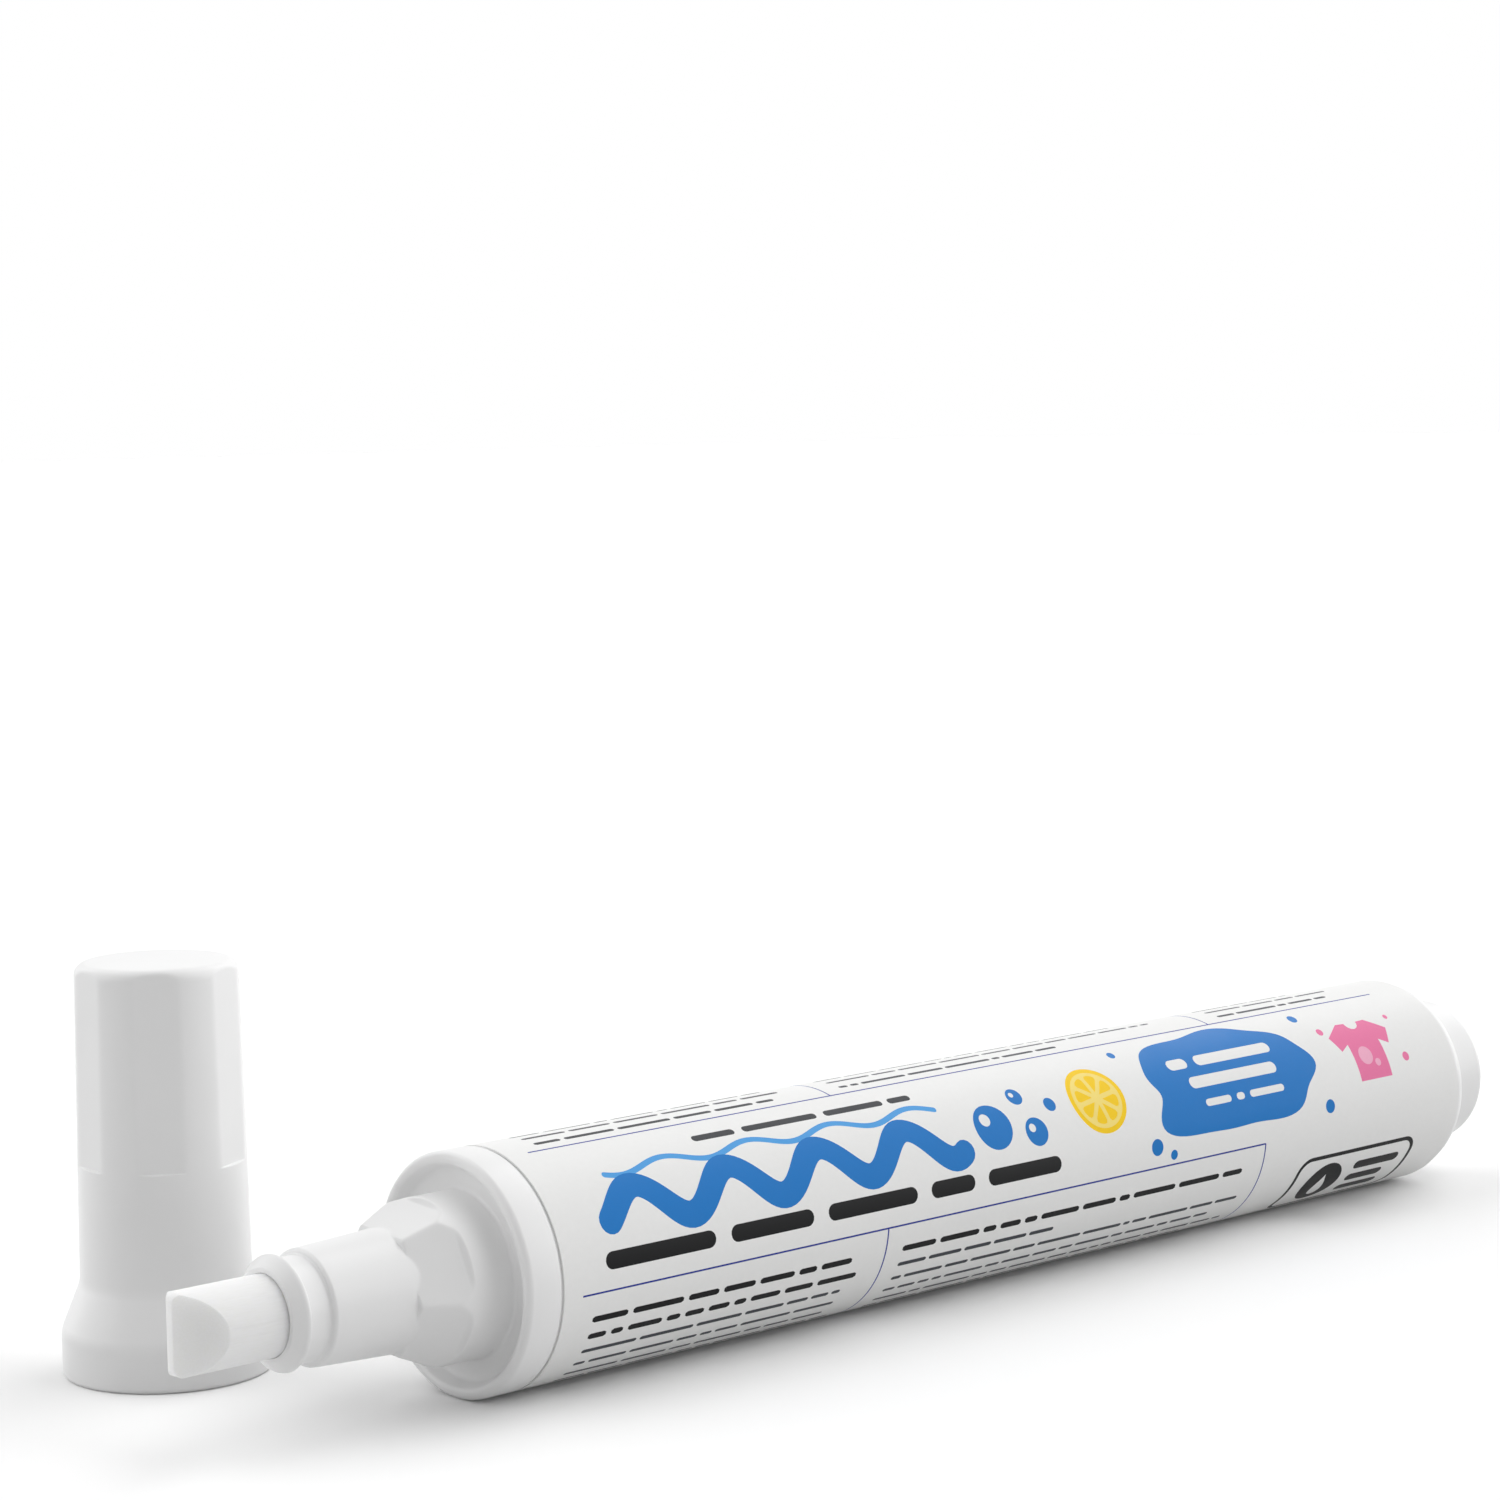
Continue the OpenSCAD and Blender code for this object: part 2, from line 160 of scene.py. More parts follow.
# The cap, in millimetres up from its mouth
CAP_L = 30.8
SKIRT_R = 7.85
SKIRT_L = 3.4
SKIRT_ROUND = 0.35
CAP_FLARE_L = 3.6
CAP_BEND = 2.5
SHANK_R = 6.38
SHANK_START = SKIRT_L + CAP_FLARE_L
CAP_END_R = 6.03
CAP_ROUND = 0.9
CAP_SOCKET_R = 6.21
CAP_SOCKET_DEPTH = 3.85
CAP_MOUTH_L = 0.4
CAP_BORE_R = 5.06
CAP_END_WALL = 1.1
FLAT_COUNT = 6
FLAT_L = 15.0
FLAT_START = CAP_L - FLAT_L
FLAT_DEPTH = 0.25
FLAT_STEP_L = 0.1
FLAT_SOFT = 0.06
STEP_MESH_MARGIN = 0.6
STEP_MESH_STEP = 0.04
FLAT_MESH_STEP = 0.8
CAP_TURN = -4.0

label_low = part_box("label_wrap")[0]
cap_low, cap_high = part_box("cap_shell")
nib_low, nib_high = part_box("nib")
collar_x = label_low.x - LABEL_START * MM
pen_y = (nib_low.y + nib_high.y) / 2
pen_z = PEN_R * MM
cap_x = (cap_low.x + cap_high.x) / 2
cap_y = (cap_low.y + cap_high.y) / 2


def on_pen(along, radius, turn):
    """A point on the pen. turn is in degrees from the top towards the side with the printed front."""
    a = math.radians(turn)
    r = radius * MM
    return Vector((collar_x + along * MM, pen_y - r * math.sin(a), pen_z + r * math.cos(a)))


def on_cap(up, radius, turn):
    """A point on the standing cap. turn is in degrees, and is 0 in the middle of a grip flat."""
    a = math.radians(turn + CAP_TURN)
    r = radius * MM
    return Vector((cap_x + r * math.cos(a), cap_y + r * math.sin(a), up * MM))


# Outlines

def rounded(points):
    """An open outline from (along, radius, rounding) points, with arcs where the rounding is above 0."""
    flat = [Vector(p[:2]) for p in points]
    out = [flat[0]]
    for i in range(1, len(points) - 1):
        before, corner, after = flat[i - 1:i + 2]
        rounding = points[i][2]
        if rounding <= 0:
            out.append(corner)
            continue
        to_before = (before - corner).normalized()
        to_after = (after - corner).normalized()
        half = to_before.angle(to_after) / 2
        centre = corner + (to_before + to_after).normalized() * rounding / math.sin(half)
        start = corner + to_before * rounding / math.tan(half) - centre
        side = 1 if (corner - before).cross(after - corner) > 0 else -1
        turn = side * (math.pi - 2 * half)
        for k in range(ARC_STEPS + 1):
            t = turn * k / ARC_STEPS
            out.append(centre + Vector((start.x * math.cos(t) - start.y * math.sin(t),
                                        start.x * math.sin(t) + start.y * math.cos(t))))
    out.append(flat[-1])
    return out


def refined(outline, low, high, step):
    """The outline with extra points where it runs between two places along the axis."""
    out = []
    for a, b in zip(outline, outline[1:]):
        out.append(a)
        if max(a.x, b.x) > low and min(a.x, b.x) < high:
            pieces = max(1, math.ceil((b - a).length / step))
            out.extend(a.lerp(b, k / pieces) for k in range(1, pieces))
    out.append(outline[-1])
    return out


def smooth_min(a, b, soft):
    """The smaller of two numbers, with a rounded change from one to the other."""
    h = max(soft - abs(a - b), 0) / soft
    return min(a, b) - h * h * soft / 4


def smooth_max(a, b, soft):
    """The larger of two numbers, with a rounded change from one to the other."""
    return -smooth_min(-a, -b, soft)


def smooth_step(t):
    """0 up to 0, 1 from 1 on, and an S between them."""
    t = min(max(t, 0), 1)
    return t * t * (3 - 2 * t)


# Meshes

def add_object(name, mesh, body, materials):
    """An object that shows a mesh and rides on a body."""
    piece = bpy.data.objects.new(name, mesh)
    bpy.context.scene.collection.objects.link(piece)
    for material in materials:
        mesh.materials.append(material)
    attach(piece, body)
    return piece


def shade(piece, sharp_degrees=40):
    """Smooth shading that keeps flat faces flat and hard edges hard."""
    piece.data.shade_smooth()
    piece.data.set_sharp_from_angle(angle=math.radians(sharp_degrees))
    weighted = piece.modifiers.new("weighted", "WEIGHTED_NORMAL")
    weighted.keep_sharp = True


def turned_mesh(name, outline, place, shape=None, closed=False, steps=ROUND_STEPS):
    """A turned mesh. place maps (along, radius, turn) to a point, and shape changes a radius at a turn."""
    bm = bmesh.new()
    rings = []
    for p in outline:
        if p.y < 1e-6:
            rings.append([bm.verts.new(place(p.x, 0, 0))])
            continue
        ring = []
        for k in range(steps):
            turn = 360 * k / steps
            radius = shape(p.x, p.y, turn) if shape else p.y
            ring.append(bm.verts.new(place(p.x, radius, turn)))
        rings.append(ring)
    pairs = list(zip(rings, rings[1:]))
    if closed:
        pairs.append((rings[-1], rings[0]))
    for a, b in pairs:
        if len(a) == 1 and len(b) == 1:
            continue
        for k in range(steps):
            n = (k + 1) % steps
            if len(a) == 1:
                bm.faces.new((a[0], b[n], b[k]))
            elif len(b) == 1:
                bm.faces.new((a[k], a[n], b[0]))
            else:
                bm.faces.new((a[k], a[n], b[n], b[k]))
    bmesh.ops.recalc_face_normals(bm, faces=bm.faces)
    mesh = bpy.data.meshes.new(name)
    bm.to_mesh(mesh)
    bm.free()
    return mesh


# Materials

# Nearly all of a noise texture's values lie between these two
NOISE_LOW = 0.3
NOISE_HIGH = 0.7


def linear(code):
    """A colour written as six hex digits, as the linear values that a shader takes."""
    values = [int(code[i:i + 2], 16) / 255 for i in (0, 2, 4)]
    return tuple(v / 12.92 if v <= 0.04045 else ((v + 0.055) / 1.055) ** 2.4 for v in values) + (1,)


def new_material(name):
    material = bpy.data.materials.new(name)
    material.use_nodes = True
    nodes = material.node_tree.nodes
    links = material.node_tree.links
    return material, nodes, links, nodes["Principled BSDF"]


def noise(nodes, links, scale, detail, stretch=(1, 1, 1)):
    """Noise in the object's own space. scale is in features per metre."""
    place = nodes.new("ShaderNodeTexCoord")
    mapping = nodes.new("ShaderNodeMapping")
    mapping.inputs["Scale"].default_value = stretch
    texture = nodes.new("ShaderNodeTexNoise")
    texture.inputs["Scale"].default_value = scale
    texture.inputs["Detail"].default_value = detail
    links.new(place.outputs["Object"], mapping.inputs["Vector"])
    links.new(mapping.outputs["Vector"], texture.inputs["Vector"])
    return texture.outputs["Fac"]


def mapped(nodes, links, value, low, high):
    """A noise value spread between two numbers."""
    spread = nodes.new("ShaderNodeMapRange")
    spread.inputs["From Min"].default_value = NOISE_LOW
    spread.inputs["From Max"].default_value = NOISE_HIGH
    spread.inputs["To Min"].default_value = low
    spread.inputs["To Max"].default_value = high
    links.new(value, spread.inputs["Value"])
    return spread.outputs["Result"]


def paint_two_tones(nodes, links, shader, value, dark, light):
    """Colour the shader between two tones, picked by a noise value."""
    mix = nodes.new("ShaderNodeMix")
    mix.data_type = "RGBA"
    mix.inputs["A"].default_value = dark
    mix.inputs["B"].default_value = light
    links.new(mapped(nodes, links, value, 0, 1), mix.inputs["Factor"])
    links.new(mix.outputs["Result"], shader.inputs["Base Color"])


def add_bump(nodes, links, shader, height, distance, strength):
    """Relief from a noise value. distance is in metres."""
    bump = nodes.new("ShaderNodeBump")
    bump.inputs["Distance"].default_value = distance
    bump.inputs["Strength"].default_value = strength
    links.new(height, bump.inputs["Height"])
    links.new(bump.outputs["Normal"], shader.inputs["Normal"])


def moulded_plastic(name, dark, light, roughness):
    """Moulded polypropylene: a soft satin with a faintly cloudy tone and slightly uneven gloss."""
    material, nodes, links, shader = new_material(name)
    clouds = noise(nodes, links, 90, 2)
    paint_two_tones(nodes, links, shader, clouds, linear(dark), linear(light))
    links.new(mapped(nodes, links, clouds, roughness - 0.04, roughness + 0.04), shader.inputs["Roughness"])
    shader.inputs["IOR"].default_value = 1.49
    return material


def film(name, colour):
    """Printed film: smooth, with the faint mottle of ink and the long waves of a wrapped label."""
    material, nodes, links, shader = new_material(name)
    mottle = 0.985
    base = linear(colour)
    darker = tuple(c * mottle for c in base[:3]) + (1,)
    paint_two_tones(nodes, links, shader, noise(nodes, links, 2500, 2), darker, base)
    links.new(mapped(nodes, links, noise(nodes, links, 400, 2), 0.32, 0.4), shader.inputs["Roughness"])
    add_bump(nodes, links, shader, noise(nodes, links, 220, 1, (0.35, 1, 1)), 0.00002, 0.2)
    shader.inputs["Specular IOR Level"].default_value = 0.14
    return material


def nib_fibre():
    """Bonded fibre: dull and nearly white, with faint fine strands along the rod and tiny pores."""
    material, nodes, links, shader = new_material("nib_fibre_look")
    strands = noise(nodes, links, 9000, 2, (0.12, 1, 1))
    pores = noise(nodes, links, 5200, 2)
    paint_two_tones(nodes, links, shader, strands, linear("F6F6F5"), linear("FAFAFA"))
    height = nodes.new("ShaderNodeMath")
    links.new(strands, height.inputs[0])
    links.new(pores, height.inputs[1])
    add_bump(nodes, links, shader, height.outputs["Value"], 0.000006, 0.12)
    links.new(mapped(nodes, links, pores, 0.75, 0.95), shader.inputs["Roughness"])
    shader.inputs["Subsurface Weight"].default_value = 0.85
    shader.inputs["Subsurface Scale"].default_value = 1.0
    shader.inputs["Subsurface Radius"].default_value = (0.0014, 0.0014, 0.0013)
    return material


def spring_steel():
    """Drawn stainless wire."""
    material, nodes, links, shader = new_material("spring_steel_look")
    drawn = noise(nodes, links, 6000, 2)
    paint_two_tones(nodes, links, shader, drawn, linear("A9ACB0"), linear("C9CBCE"))
    links.new(mapped(nodes, links, drawn, 0.22, 0.38), shader.inputs["Roughness"])
    shader.inputs["Metallic"].default_value = 1.0
    return material


def seal_rubber():
    """Dull grey elastomer with a fine grain."""
    material, nodes, links, shader = new_material("seal_rubber_look")
    grain = noise(nodes, links, 3000, 3)
    paint_two_tones(nodes, links, shader, grain, linear("4A4C50"), linear("5C5E62"))
    links.new(mapped(nodes, links, grain, 0.6, 0.8), shader.inputs["Roughness"])
    add_bump(nodes, links, shader, grain, 0.00002, 0.4)
    return material


def fluid_look():
    """A clear watery liquid."""
    material, nodes, links, shader = new_material("fluid_look")
    drift = noise(nodes, links, 60, 2)
    paint_two_tones(nodes, links, shader, drift, linear("E9F3F9"), linear("F4FAFD"))
    links.new(mapped(nodes, links, drift, 0.02, 0.05), shader.inputs["Roughness"])
    shader.inputs["Transmission Weight"].default_value = 0.9
    shader.inputs["IOR"].default_value = 1.34
    return material


# The label: one sheet with its print, drawn flat and wrapped round the barrel

class Print:
    """Flat shapes in millimetres: x along the label from its front edge, y round it from the top."""

    def __init__(self):
        self.shapes = []

    def polygon(self, points, ink):
        """Any outline. The triangulation needs it to run anticlockwise."""
        points = [Vector(p) for p in points]
        if sum(a.cross(b) for a, b in zip(points, points[1:] + points[:1])) < 0:
            points.reverse()
        self.shapes.append((points, ink))

    def disc(self, x, y, r, ink, steps=40):
        turns = [2 * math.pi * k / steps for k in range(steps)]
        self.polygon([(x + r * math.cos(a), y + r * math.sin(a)) for a in turns], ink)

    def bar(self, x0, x1, y, h, ink, end_steps=5):
        """A bar with round ends."""
        r = h / 2
        if x1 - x0 < h:
            x1 = x0 + h
        points = []
        for x, start in ((x1 - r, -90), (x0 + r, 90)):
            for k in range(end_steps + 1):
                a = math.radians(start + 180 * k / end_steps)
                points.append((x + r * math.cos(a), y + r * math.sin(a)))
        self.polygon(points, ink)

    def rule(self, x0, y0, x1, y1, w, ink):
        """A straight line."""
        d = (Vector((x1, y1)) - Vector((x0, y0))).normalized() * w / 2
        n = Vector((-d.y, d.x))
        a, b = Vector((x0, y0)), Vector((x1, y1))
        self.polygon([a - n, b - n, b + n, a + n], ink)

    def box(self, x0, x1, y0, y1, r, ink, steps=8):
        """A rectangle with round corners."""
        corners = ((x1 - r, y1 - r, 0), (x0 + r, y1 - r, 90), (x0 + r, y0 + r, 180), (x1 - r, y0 + r, 270))
        points = []
        for x, y, start in corners:
            for k in range(steps + 1):
                a = math.radians(start + 90 * k / steps)
                points.append((x + r * math.cos(a), y + r * math.sin(a)))
        self.polygon(points, ink)

    def drop(self, x, y, r, ink, steps=28):
        """A drop with its point towards the top."""
        points = []
        for k in range(steps):
            a = 2 * math.pi * k / steps
            narrow = math.sin(a / 2) ** 1.5
            points.append((x + r * math.sin(a) * narrow, y - r * 1.35 * math.cos(a) + r * 0.3))
        self.polygon(points, ink)

    def stroke(self, path, width, ink, end_steps=8):
        """A pen stroke of one width along a path, with round ends."""
        path = [Vector(p) for p in path]
        r = width / 2
        left, right = [], []
        for k, p in enumerate(path):
            d = (path[min(k + 1, len(path) - 1)] - path[max(k - 1, 0)]).normalized()
            n = Vector((-d.y, d.x)) * r
            left.append(p + n)
            right.append(p - n)

        def round_end(centre, start):
            turn = math.atan2(start.y, start.x)
            turns = [turn - math.pi * k / end_steps for k in range(1, end_steps)]
            return [centre + r * Vector((math.cos(a), math.sin(a))) for a in turns]

        far_end = round_end(path[-1], left[-1] - path[-1])
        near_end = round_end(path[0], right[0] - path[0])
        self.polygon(left + far_end + right[::-1] + near_end, ink)

    def words(self, x0, x1, y, h, ink, rng, longest=5.2):
        """A line of plain bars that stands for small print."""
        x = x0
        gap = h * 0.85
        while x < x1 - h * 2:
            length = rng.uniform(h * 2.2, longest)
            end = min(x + length, x1)
            if end - x > h * 1.5:
                self.bar(x, end, y, h, ink, 3)
            x = end + gap


INKS = {"film": "F4F4F3", "blue": "1279C8", "pale_blue": "4FA3E6", "black": "0A0B0D", "grey": "2C2F34",
        "small": "3C4046", "navy": "2A3A96", "pink": "F07BAA", "pale_pink": "F9B4CF", "yellow": "FFD30A",
        "pale_yellow": "FFE680"}
RULE_W = 0.14
TOP_RULE_Y = 2.7
TOP_RULE_X = (2.0, 98.0)
LOW_RULE_Y = 15.0
LOW_RULE_START_X = 1.7
DIVIDERS_X = (31.9, 76.2)
TOP_DIVIDER_L = 9.5
LOW_DIVIDER_L = 13.5
LINE_PITCH = 1.45
TOP_TEXT_Y = TOP_RULE_Y - 1.1
LOW_TEXT_Y = LOW_RULE_Y + 2.0
UNDER_TEXT_Y = LOW_RULE_Y + 16.6
LEFT_COLUMN_X = 2.8
MIDDLE_COLUMN_X = 33.7
FINE_H = 0.36
BOLD_H = 0.5


def draw_rules(art):
    """Two thin rules along the label, and dividers between the columns of small print."""
    art.rule(TOP_RULE_X[0], TOP_RULE_Y, TOP_RULE_X[1], TOP_RULE_Y, RULE_W, "navy")
    art.rule(LOW_RULE_START_X, LOW_RULE_Y, DIVIDERS_X[1], LOW_RULE_Y, RULE_W, "navy")
    for x in DIVIDERS_X:
        art.rule(x, TOP_RULE_Y - TOP_DIVIDER_L, x, TOP_RULE_Y, RULE_W, "navy")
        art.rule(x, LOW_RULE_Y, x, LOW_RULE_Y + LOW_DIVIDER_L, RULE_W, "navy")


def wave_path(x0, x1, y, height, length, phase):
    """A wave along the label between two places, as a path for a stroke."""
    step = 0.3
    count = int((x1 - x0) / step)
    xs = [x0 + (x1 - x0) * k / count for k in range(count + 1)]
    return [(x, y + height * math.sin(2 * math.pi * (x - x0) / length + phase)) for x in xs]


def draw_title(art):
    """A bold wave below a thin pale one, bubbles beside them, and plain bars where a heading would be."""
    art.stroke(wave_path(6.4, 39.9, 6.3, 0.45, 8.4, 0.4), 0.5, "pale_blue")
    art.stroke(wave_path(5.1, 41.0, 9.25, 1.55, 9.1, 2.6), 2.05, "blue")
    bubbles = ((44.9, 8.9, 1.95), (49.3, 10.0, 1.2), (48.7, 6.7, 0.8), (51.9, 8.0, 0.62))
    for x, y, r in bubbles:
        art.disc(x, y, r, "blue")
    glints = ((44.3, 8.25, 0.55), (48.95, 9.65, 0.36), (48.5, 6.5, 0.24))
    for x, y, r in glints:
        art.disc(x, y, r, "film", steps=24)
    heading_y, heading_h = 12.85, 1.3
    for x0, x1 in ((3.9, 14.4), (15.9, 24.2), (25.7, 35.1), (36.6, 41.4), (42.9, 51.2)):
        art.bar(x0, x1, heading_y, heading_h, "black", 8)
    line_y, line_h = 4.75, 0.62
    for x0, x1 in ((16.0, 20.2), (21.0, 28.6), (29.4, 35.6), (36.2, 38.6)):
        art.bar(x0, x1, line_y, line_h, "grey")


def draw_lemon(art, x, y):
    """A round slice of lemon: the rind, the pith and the segments."""
    rind_r, pith_r, near, far = 3.05, 2.6, 0.55, 2.25
    art.disc(x, y, rind_r, "yellow", steps=56)
    art.disc(x, y, pith_r, "pale_yellow", steps=48)
    segments = 8
    half = math.pi / segments
    edge = ((0.86, 0.74), (0.97, 0.6), (1, 0.3))
    right = [(far * reach, -half * share) for reach, share in edge]
    left = [(r, -a) for r, a in reversed(right)]
    outline = [(near, 0)] + right + [(far, 0)] + left
    for k in range(segments):
        middle = 2 * half * (k + 0.3)
        placed = [(r, middle + a) for r, a in outline]
        art.polygon([(x + r * math.cos(a), y + r * math.sin(a)) for r, a in placed], "yellow")


def draw_puddle(art):
    """A blue splash with drops round it, and plain bars where words would be."""
    x, y, half_l, half_w = 73.6, 8.5, 9.9, 4.75
    lobes = ((0.045, 3, 0.8), (0.05, 5, 2.1), (0.03, 8, 0.5))
    steps = 120
    outline = []
    for k in range(steps):
        a = 2 * math.pi * k / steps
        reach = (abs(math.cos(a)) ** 3 + abs(math.sin(a)) ** 3) ** (-1 / 3)
        reach *= 1 + sum(height * math.sin(count * a + phase) for height, count, phase in lobes)
        outline.append((x + half_l * reach * math.cos(a), y + half_w * reach * math.sin(a)))
    art.polygon(outline, "blue")
    drops = ((62.6, 13.3, 0.7), (64.6, 14.2, 0.42), (84.8, 13.0, 0.6), (85.6, 4.2, 0.5), (62.2, 4.4, 0.4))
    for drop_x, drop_y, r in drops:
        art.disc(drop_x, drop_y, r, "blue", steps=24)
    bold_h, fine_h = 1.05, 0.62
    for x0, x1, bar_y in ((67.0, 69.4, 6.7), (70.4, 80.0, 6.7), (68.4, 79.4, 8.65)):
        art.bar(x0, x1, bar_y, bold_h, "film", 8)
    fine_y = 10.55
    for x0, x1 in ((69.4, 72.6), (73.3, 74.3), (75.0, 79.4)):
        art.bar(x0, x1, fine_y, fine_h, "film")


def draw_shirt(art, x, y):
    """A plain shirt with two spots on it, and a few dots round it."""
    neck_x, neck_y, neck_drop = 0.8, -2.7, 0.75
    right = [(neck_x, neck_y), (1.9, -2.75), (3.9, -1.5), (3.2, 0.0), (2.1, -0.55), (2.1, 2.9)]
    left = [(-px, py) for px, py in reversed(right)]
    neck = []
    for degrees in range(165, 0, -25):
        a = math.radians(degrees)
        neck.append((neck_x * math.cos(a), neck_y + neck_drop * math.sin(a)))
    art.polygon([(x + px, y + py) for px, py in right + left + neck], "pink")
    art.disc(x - 0.5, y + 0.7, 0.85, "pale_pink", steps=28)
    art.disc(x + 0.75, y + 1.5, 0.35, "pale_pink", steps=20)
    dots = ((-4.4, -2.3, 0.38), (4.6, 1.5, 0.42), (4.9, -2.6, 0.26))
    for dx, dy, r in dots:
        art.disc(x + dx, y + dy, r, "pink", steps=20)


def draw_badge(art):
    """A round sign with a drop, next to plain bars in a frame."""
    x0, x1, y0, y1, line_w = 81.6, 97.4, 17.4, 24.4, 0.4
    outer_r, inner_r = 1.5, 1.15
    art.box(x0, x1, y0, y1, outer_r, "black")
    art.box(x0 + line_w, x1 - line_w, y0 + line_w, y1 - line_w, inner_r, "film")
    sign_x, sign_y, sign_r, drop_r = 86.1, 20.9, 2.45, 1.05
    art.disc(sign_x, sign_y, sign_r, "black")
    art.drop(sign_x, sign_y - 0.1, drop_r, "film")
    bar_start, bar_h = 89.7, 0.95
    for bar_end, y in ((95.8, 19.4), (94.6, 21.0), (95.2, 22.6)):
        art.bar(bar_start, bar_end, y, bar_h, "black", 6)


def draw_small_print(art):
    """Rows of plain bars below the title, above it towards the back, and on the label's underside."""
    rng = random.Random(11)
    bold, fine = (BOLD_H, "black"), (FINE_H, "small")
    middle_ends = (73.6, 51.5, 74.4, 72.2, 74.6, 70.8, 73.2)
    for k, middle_end in enumerate(middle_ends):
        y = LOW_TEXT_Y + LINE_PITCH * k
        art.words(LEFT_COLUMN_X, rng.uniform(27.5, 30.4), y, *(bold if k < 2 else fine), rng)
        art.words(MIDDLE_COLUMN_X, middle_end, y, *(bold if k == 0 else fine), rng)
    top_columns = ((3.4, (26.5, 29.5), (0.42, "grey")), (33.8, (56, 73), fine), (78.6, (88, 95), fine))
    for k in range(6):
        y = TOP_TEXT_Y - LINE_PITCH * k
        for x, ends, look in top_columns:
            art.words(x, rng.uniform(*ends), y, *look, rng)
    under_columns = ((LEFT_COLUMN_X, 30.0), (MIDDLE_COLUMN_X, 61.0), (64.5, 96.0))
    ragged = 6
    for k in range(7):
        y = UNDER_TEXT_Y + LINE_PITCH * k
        for x, longest_end in under_columns:
            art.words(x, rng.uniform(longest_end - ragged, longest_end), y, *fine, rng)


def label_print():
    """All that is printed on the label. None of it is lettering."""
    art = Print()
    draw_rules(art)
    draw_title(art)
    draw_lemon(art, 57.3, 8.3)
    draw_puddle(art)
    draw_shirt(art, 91.6, 8.6)
    draw_badge(art)
    draw_small_print(art)
    return art


def label_turns():
    """Where the label's lengthwise edges run, with both edges of each step at the glued overlap."""
    turns = [SEAM_TURN + 360 * k / LABEL_STEPS for k in range(LABEL_STEPS + 1)]
    for t in OVERLAP_ENDS:
        turns = [a for a in turns if abs(a - t) > FLAP_STEP_CLEAR]
        turns += [t - FLAP_STEP_HALF, t + FLAP_STEP_HALF]
    return sorted(turns)


def flat_label(art, turns):
    """The printed sheet cut into cells: its points, its cells and the number of each cell's ink."""
    points, edges = [], []
    for turn in turns:
        points += [Vector((0, turn * MM_PER_DEGREE)), Vector((LABEL_L, turn * MM_PER_DEGREE))]
        edges.append((len(points) - 2, len(points) - 1))
    faces = [[0, 1, len(points) - 1, len(points) - 2]]
    inks = ["film"]
    for outline, ink in art.shapes:
        faces.append(list(range(len(points), len(points) + len(outline))))
        points += outline
        inks.append(ink)
    flat, _, cells, _, _, owners = delaunay_2d_cdt(points, edges, faces, 1, 1e-5)
    names = list(INKS)
    return flat, cells, [names.index(inks[max(above)]) if above else 0 for above in owners]


def skin_radius(turn):
    """The outside's radius. The glued overlap is a second layer over the first."""
    if OVERLAP_ENDS[0] < turn < OVERLAP_ENDS[1]:
        return PEN_R - SKIN_INSET
    return PEN_R + FLAP_T


def close_label(bm, turns, flat, verts):
    """Add the label's inside, and the two cut edges that join it to the printed outside."""
    inner = []
    for turn in turns[:-1]:
        inner.append([bm.verts.new(on_pen(x, PEN_R - FILM_T, turn)) for x in (LABEL_START, LABEL_END)])
    count = len(inner)
    for side, x in enumerate((0, LABEL_L)):
        ring = sorted((e for e in zip(flat, verts) if abs(e[0].x - x) < 1e-4), key=lambda e: e[0].y)
        for k in range(count):
            n = (k + 1) % count
            bm.faces.new((ring[k][1], ring[k + 1][1], inner[n][side], inner[k][side]))
    for k in range(count):
        n = (k + 1) % count
        bm.faces.new((inner[k][0], inner[n][0], inner[n][1], inner[k][1]))


def label_normals(mesh):
    """Round normals on the outside and the inside, and flat ones on the cut edges."""
    normals = []
    for polygon in mesh.polygons:
        for index in polygon.vertices:
            v = mesh.vertices[index].co
            out = Vector((0, v.y - pen_y, v.z - pen_z)).normalized()
            facing = polygon.normal.dot(out)
            normals.append(out if facing > 0.9 else -out if facing < -0.9 else polygon.normal)
    return normals


def make_label():
    """One closed mesh: the printed outside, the two cut edges and the inside."""
    turns = label_turns()
    flat, cells, inks = flat_label(label_print(), turns)
    bm = bmesh.new()
    verts = []
    for p in flat:
        turn = p.y / MM_PER_DEGREE
        verts.append(bm.verts.new(on_pen(LABEL_START + p.x, skin_radius(turn), turn)))
    for cell, ink in zip(cells, inks):
        if len(set(cell)) >= 3:
            face = bm.faces.new([verts[i] for i in cell])
            face.material_index = ink
    close_label(bm, turns, flat, verts)
    bmesh.ops.remove_doubles(bm, verts=bm.verts, dist=1e-7)
    bmesh.ops.dissolve_degenerate(bm, edges=bm.edges, dist=1e-8)
    bmesh.ops.recalc_face_normals(bm, faces=bm.faces)
    mesh = bpy.data.meshes.new("label_film")
    bm.to_mesh(mesh)
    bm.free()
    mesh.shade_smooth()
    mesh.normals_split_custom_set(label_normals(mesh))
    piece = add_object("label_film", mesh, "pen", [film("print_" + n, INKS[n]) for n in INKS])
    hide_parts("label_wrap")


# The plastic pieces

